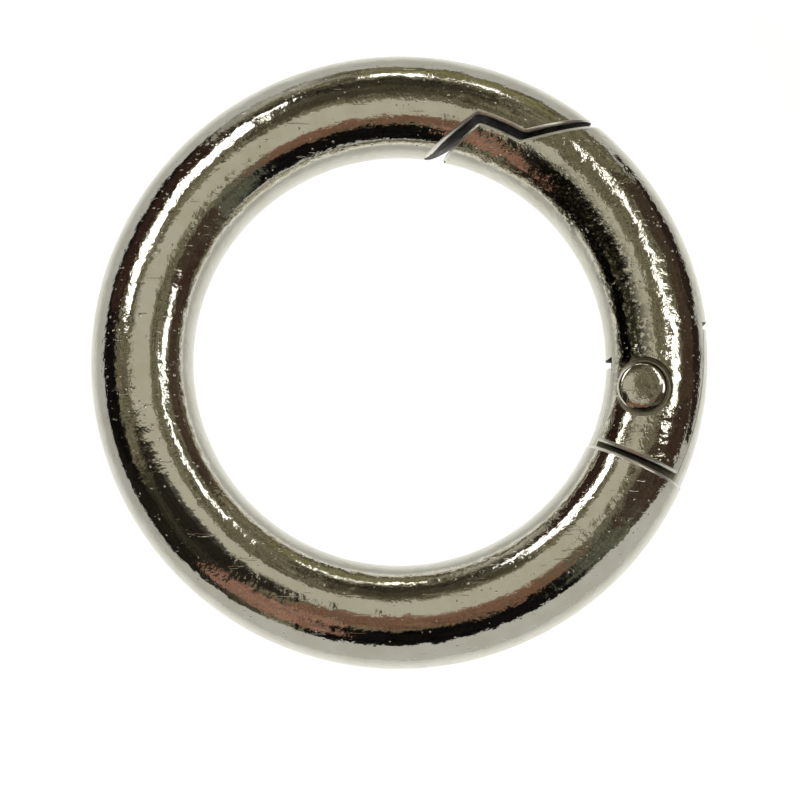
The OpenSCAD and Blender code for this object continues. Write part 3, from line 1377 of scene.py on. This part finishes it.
TENT = (
    # the ceiling, seen as a smooth grey from above
    Patch(115, 9, 65, 14, CEILING, slope=0.17, soft=3),
    Patch(180, 7, 34, 14, CEILING, soft=3),
    Patch(285, 4, 60, 15, CEILING, soft=3),
    Patch(0, 0, 180, 8, CEILING, soft=3),
    # the brown side of the room
    Patch(280, 28, 40, 12, BROWN, soft=3, mottle=0.5),
    Patch(258, 41, 10, 2.0, OLIVE, soft=3, mottle=0.3),
    # the dark sides
    Patch(172, 77, 50, 16, BLACK, soft=4, mottle=0.1),
    Patch(142, 72, 22, 13, UMBER, soft=5, mottle=0.7),
    Patch(216, 55, 20, 36, DARK, slope=0.2, soft=7, mottle=0.45),
    Patch(208, 27, 24, 16, DARK, soft=6, mottle=0.25),
    Patch(283, 66, 37, 25, BLACK, slope=-0.10, soft=3, mottle=0.1),
    Patch(323, 50, 9, 28, (0.14, 0.15, 0.11), soft=5, mottle=0.6),
    Patch(342, 60, 13, 30, UMBER, soft=6, mottle=0.6),
    Patch(14, 77, 32, 17, UMBER, soft=5, mottle=0.6),
    Patch(97, 56, 26, 8, DARK, slope=0.18, soft=4, mottle=0.6),
    Patch(96, 40, 18, 9, SHADE, soft=8, mottle=0.3),
    # pale things low down
    Patch(80, 77, 17, 10, LEMON, soft=4, mottle=0.4),
    Patch(82, 70, 14, 2.2, WHITE, slope=0.15, soft=2, mottle=1.6),
    Patch(114, 83, 12, 8, WALL_GREY, soft=4, mottle=0.2),
    Patch(238, 56, 14, 15, SKIN_TONE, slope=-0.45, soft=2.5, mottle=0.2),
    # the windows
    Patch(138, 50, 23, 7.0, WHITE, slope=-0.08, soft=1.2, mottle=0.1),
    Patch(7, 49, 13, 5.0, WHITE, slope=-0.1, soft=1.2, mottle=0.3),
    Patch(36, 43, 18, 4.0, WHITE, slope=0.48, soft=1.2, mottle=0.3),
)


@dataclass(frozen=True)
class Card:
    """A low curved card beside the ring: where it stands, its height and its tone."""

    name: str
    start: float
    end: float
    radius: float
    tops: tuple[float, ...]
    tone: tuple[float, float, float]

    def top(self, t: float) -> float:
        """Height of the card's top edge.

        Args:
            t: Share of the card's length.

        Returns:
            The height in mm.
        """
        x = t * (len(self.tops) - 1)
        i = min(int(x), len(self.tops) - 2)
        return self.tops[i] + (self.tops[i + 1] - self.tops[i]) * (x - i)


CARDS = (
    Card(
        "pale_card", start=208, end=336, radius=26.0,
        tops=(-2.0, 2.0, 4.0, 5.0, 6.0, 6.6, 6.6, 3.0), tone=(0.60, 0.60, 0.56),
    ),
    # stands in for the ring's shadow on the table: a painted shadow, seen only in reflections
    Card(
        "shadow_card", start=-14, end=46, radius=30.0,
        tops=(0.0, 2.5, 2.5, 2.5, 0.0), tone=(0.03, 0.02, 0.016),
    ),
)


@dataclass
class Studio:
    """Paper floor, light tent and camera."""

    floor_z: float = -3.0
    tent_r: float = 113.0
    tent_top: float = 70.0
    elevation: float = 82.0
    azimuth: float = -80.0
    distance: float = 300.0
    frame: float = 800.0
    per_mm: float = 17.16
    sensor: float = 36.0
    shift: tuple[float, float] = (0.7, -39.4)
    paper_size: float = 2.0

    def build(self) -> None:
        """Sets up everything round the ring."""
        self.floor()
        self.tent()
        self.cards()
        self.air()
        self.camera()

    def seen_or_not(self, g: Graph, seen: object, reflected: object) -> bpy.types.NodeSocket:
        """Gives one shader to the camera and another to every other ray.

        Args:
            g: The material's graph.
            seen: The shader for the camera.
            reflected: The other one.

        Returns:
            The shader for both.
        """
        path = node(g.tree, "ShaderNodeLightPath")
        pick = node(g.tree, "ShaderNodeMixShader")
        g.plug(pick.inputs[0], path.outputs["Is Camera Ray"])
        g.plug(pick.inputs[1], reflected)
        g.plug(pick.inputs[2], seen)
        return pick.outputs[0]

    def floor(self) -> None:
        """Lays the pale paper floor. Rays other than the camera's see a painted light on it: a
        glow that is brightest in a band under the ring.
        """
        bm = bmesh.new()
        bmesh.ops.create_grid(bm, x_segments=1, y_segments=1, size=self.paper_size)
        bmesh.ops.translate(bm, verts=bm.verts, vec=(0, 0, self.floor_z * MM))
        floor = new_piece("floor", bm)
        mat, g = new_material("floor_paper")
        tree = mat.node_tree
        shader = tree.nodes["Principled BSDF"]
        shader.inputs["Base Color"].default_value = (0.4, 0.4, 0.4, 1)
        shader.inputs["Roughness"].default_value = 0.8
        shader.inputs["Specular IOR Level"].default_value = 0.0
        shader.inputs["Emission Color"].default_value = (1, 1, 1, 1)
        shader.inputs["Emission Strength"].default_value = 0.93
        back = node(tree, "ShaderNodeBsdfDiffuse")
        back.inputs["Color"].default_value = (0.3, 0.3, 0.29, 1)
        glow = node(tree, "ShaderNodeEmission")
        glow.inputs["Color"].default_value = (*FLOOR_GLOW, 1)
        place = node(tree, "ShaderNodeVectorMath", operation="MULTIPLY")
        g.plug(place.inputs[0], node(tree, "ShaderNodeTexCoord").outputs["Object"])
        place.inputs[1].default_value = (1000, 1000, 0)
        far = node(tree, "ShaderNodeVectorMath", operation="LENGTH")
        g.plug(far.inputs[0], place.outputs[0])
        # painted light: for reflected rays the floor glows brightest in a band under the ring's
        # bar
        gap = g.math("ABSOLUTE", g.math("SUBTRACT", far.outputs["Value"], 15.0))
        g.plug(glow.inputs["Strength"], g.ramp(gap, 3.5, 13.0, 1.45, 0.72))
        both = node(tree, "ShaderNodeAddShader")
        g.plug(both.inputs[0], back.outputs[0])
        g.plug(both.inputs[1], glow.outputs[0])
        out = self.seen_or_not(g, shader.outputs[0], both.outputs[0])
        g.plug(tree.nodes["Material Output"].inputs["Surface"], out)
        mat.cycles.emission_sampling = "NONE"
        floor.data.materials.append(mat)

    def patch_group(self) -> bpy.types.NodeTree:
        """Makes the group that lays one patch over the colours under it.

        Returns:
            The group.
        """
        floats = [
            "Azimuth", "Polar", "At azimuth", "At polar", "Half azimuth", "Half polar",
            "Slope", "Soft", "Mottle", "Grain",
        ]
        group, source, sink = new_group(
            "tent_patch",
            [(f, "NodeSocketFloat") for f in floats]
            + [("Under", "NodeSocketColor"), ("Tone", "NodeSocketColor")],
            [("Color", "NodeSocketColor")],
        )
        g = Graph(group)
        i = source.outputs
        across = g.math("WRAP", g.math("SUBTRACT", i["Azimuth"], i["At azimuth"]), 180.0, -180.0)
        level = g.math("SUBTRACT", i["Polar"], i["At polar"])
        down = g.math("SUBTRACT", level, g.math("MULTIPLY", across, i["Slope"]))

        def edge(d: object, half: object) -> bpy.types.NodeSocket:
            """Mask that falls off at half from the middle."""
            room = g.math("SUBTRACT", half, g.math("ABSOLUTE", d))
            return g.math("ADD", g.math("DIVIDE", room, i["Soft"]), 0.5, clamp=True)

        mask = g.math("MULTIPLY", edge(across, i["Half azimuth"]), edge(down, i["Half polar"]))
        worn = g.math("SUBTRACT", 1.0, g.math("MULTIPLY", i["Mottle"], i["Grain"]), clamp=True)
        g.plug(sink.inputs["Color"], g.mix(g.math("MULTIPLY", mask, worn), i["Under"], i["Tone"]))
        return group

    def tent(self) -> None:
        """Puts up the light tent that the plate reflects."""
        bm = bmesh.new()
        bmesh.ops.create_uvsphere(bm, u_segments=96, v_segments=48, radius=self.tent_r * MM)
        cut = Vector((0, 0, self.floor_z * MM - 0.0005))
        geom = list(bm.verts) + list(bm.edges) + list(bm.faces)
        bmesh.ops.bisect_plane(bm, geom=geom, plane_co=cut, plane_no=(0, 0, 1), clear_inner=True)
        for v in bm.verts:
            v.co.z = min(v.co.z, self.tent_top * MM)
        tent = new_piece("light_tent", bm)
        tent.data.polygons.foreach_set("use_smooth", [True] * len(tent.data.polygons))
        tent.visible_camera = False
        tent.visible_shadow = False
        mat, g = new_material("tent_cloth", bare=True)
        tree = mat.node_tree
        coords = node(tree, "ShaderNodeTexCoord").outputs["Object"]
        unit = node(tree, "ShaderNodeVectorMath", operation="NORMALIZE")
        g.plug(unit.inputs[0], coords)
        way = unit.outputs[0]
        xyz = node(tree, "ShaderNodeSeparateXYZ")
        g.plug(xyz.inputs[0], way)
        wobble = g.math("MULTIPLY_ADD", g.noise(way, 0.16, 6.0, 0.6), 15.0, -7.5)
        wander = g.math("MULTIPLY_ADD", g.noise(way, 0.23, 6.0, 0.6), 26.0, -13.0)
        turn = g.math("ARCTAN2", xyz.outputs[1], xyz.outputs[0])
        az = g.math("MULTIPLY_ADD", turn, math.degrees(1), wander)
        pol = g.math("MULTIPLY_ADD", g.math("ARCCOSINE", xyz.outputs[2]), math.degrees(1), wobble)
        grain = g.ramp(g.noise(way, 0.07, 4.0, 0.65), 0.42, 0.62)
        fleck = g.ramp(g.noise(way, 0.022, 3.0, 0.6), 0.38, 0.62, -0.25, 0.25)
        grain = g.math("ADD", grain, fleck, clamp=True)
        under = g.mix(grain, (*OLIVE, 1), (*SHADE, 1))
        group = self.patch_group()
        for p in TENT:
            made = node(tree, "ShaderNodeGroup", node_tree=group)
            values = (
                az, pol, p.azimuth, p.polar, p.half_az, p.half_pol, p.slope, p.soft, p.mottle,
                grain, under, (*p.tone, 1),
            )
            for socket, value in zip(made.inputs, values):
                g.plug(socket, value)
            under = made.outputs[0]
        low = g.ramp(pol, 24.0, 32.0)
        cloth = g.ramp(g.noise(way, 0.05, 6.0, 0.75), 0.36, 0.64, 0.45, 1.45)
        gain = g.math("ADD", 1.0, g.math("MULTIPLY", low, g.math("SUBTRACT", cloth, 1.0)))
        glow = node(tree, "ShaderNodeEmission")
        g.plug(glow.inputs["Strength"], gain)
        g.plug(glow.inputs["Color"], under)
        g.plug(tree.nodes["Material Output"].inputs["Surface"], glow.outputs[0])
        mat.cycles.emission_sampling = "NONE"
        tent.data.materials.append(mat)

    def cards(self) -> None:
        """Stands the low cards up beside the ring."""
        for card in CARDS:
            bm = bmesh.new()
            bmesh.ops.create_grid(bm, x_segments=48, y_segments=1, size=1.0)
            for v in bm.verts:
                t = (v.co.x + 1) / 2
                at = polar(card.radius, card.start + (card.end - card.start) * t)
                top = max(card.top(t), self.floor_z + 0.01)
                v.co = Vector((at.x, at.y, top if v.co.y > 0 else self.floor_z)) * MM
            piece = new_piece(card.name, bm)
            piece.visible_camera = False
            piece.visible_shadow = False
            mat, g = new_material(card.name, bare=True)
            glow = node(g.tree, "ShaderNodeEmission")
            glow.inputs["Color"].default_value = (*card.tone, 1)
            g.plug(g.tree.nodes["Material Output"].inputs["Surface"], glow.outputs[0])
            mat.cycles.emission_sampling = "NONE"
            piece.data.materials.append(mat)

    def air(self) -> None:
        """Gives the room a plain pale background."""
        world = bpy.data.worlds.new("room")
        bpy.context.scene.world = world
        world.use_nodes = True
        air = world.node_tree.nodes["Background"]
        air.inputs["Color"].default_value = (1, 1, 1, 1)
        air.inputs["Strength"].default_value = 1.0

    def camera(self) -> None:
        """Places the camera."""
        el, az = math.radians(self.elevation), math.radians(self.azimuth)
        back = Vector((math.cos(el) * math.cos(az), math.cos(el) * math.sin(az), math.sin(el)))
        data = bpy.data.cameras.new("view")
        data.sensor_width = self.sensor
        data.lens = self.per_mm * self.distance * self.sensor / self.frame
        data.clip_start = 0.01
        data.shift_x = self.shift[0] / self.frame
        data.shift_y = self.shift[1] / self.frame
        cam = bpy.data.objects.new("view", data)
        bpy.context.scene.collection.objects.link(cam)
        right = Vector((0, 0, 1)).cross(back).normalized()
        up = back.cross(right).normalized()
        tilt = Matrix((right, up, back)).transposed().to_4x4()
        spin = Matrix.Rotation(math.radians(-self.azimuth - 90), 4, back)
        cam.matrix_world = Matrix.Translation(back * self.distance * MM) @ spin @ tilt
        bpy.context.scene.camera = cam


def main() -> None:
    """Builds the ring piece by piece."""
    logging.basicConfig(level=logging.INFO, format="%(message)s")
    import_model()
    bpy.context.scene.view_settings.view_transform = "Standard"
    sizes = RingSizes()
    skin = cast_skin_group()
    plate = BODY_PLATE.material(skin)
    gate_plate = GATE_PLATE.material(skin)
    head_plate = HEAD_PLATE.material(skin)
    wire = WIRE.material(skin)
    body = RingBody(sizes).build()
    gate = Gate(sizes).build()
    rivet = Rivet(sizes).build()
    coil = ReturnSpring(sizes)
    spring = coil.build()
    for piece, node_name, ride_on, finish in (
        (body, "ring_body", "ring", plate),
        (gate, "gate", "gate_arm", gate_plate),
        (rivet, "rivet", "gate_arm", head_plate),
        (spring, "return_spring", "gate_arm", wire),
    ):
        one_material(piece, finish)
        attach(piece, ride_on)
        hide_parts(node_name)
        LOG.info("%s: %d faces", piece.name, len(piece.data.polygons))
    coil.squeeze(spring)
    Studio().build()


if __name__ == "__main__":
    main()
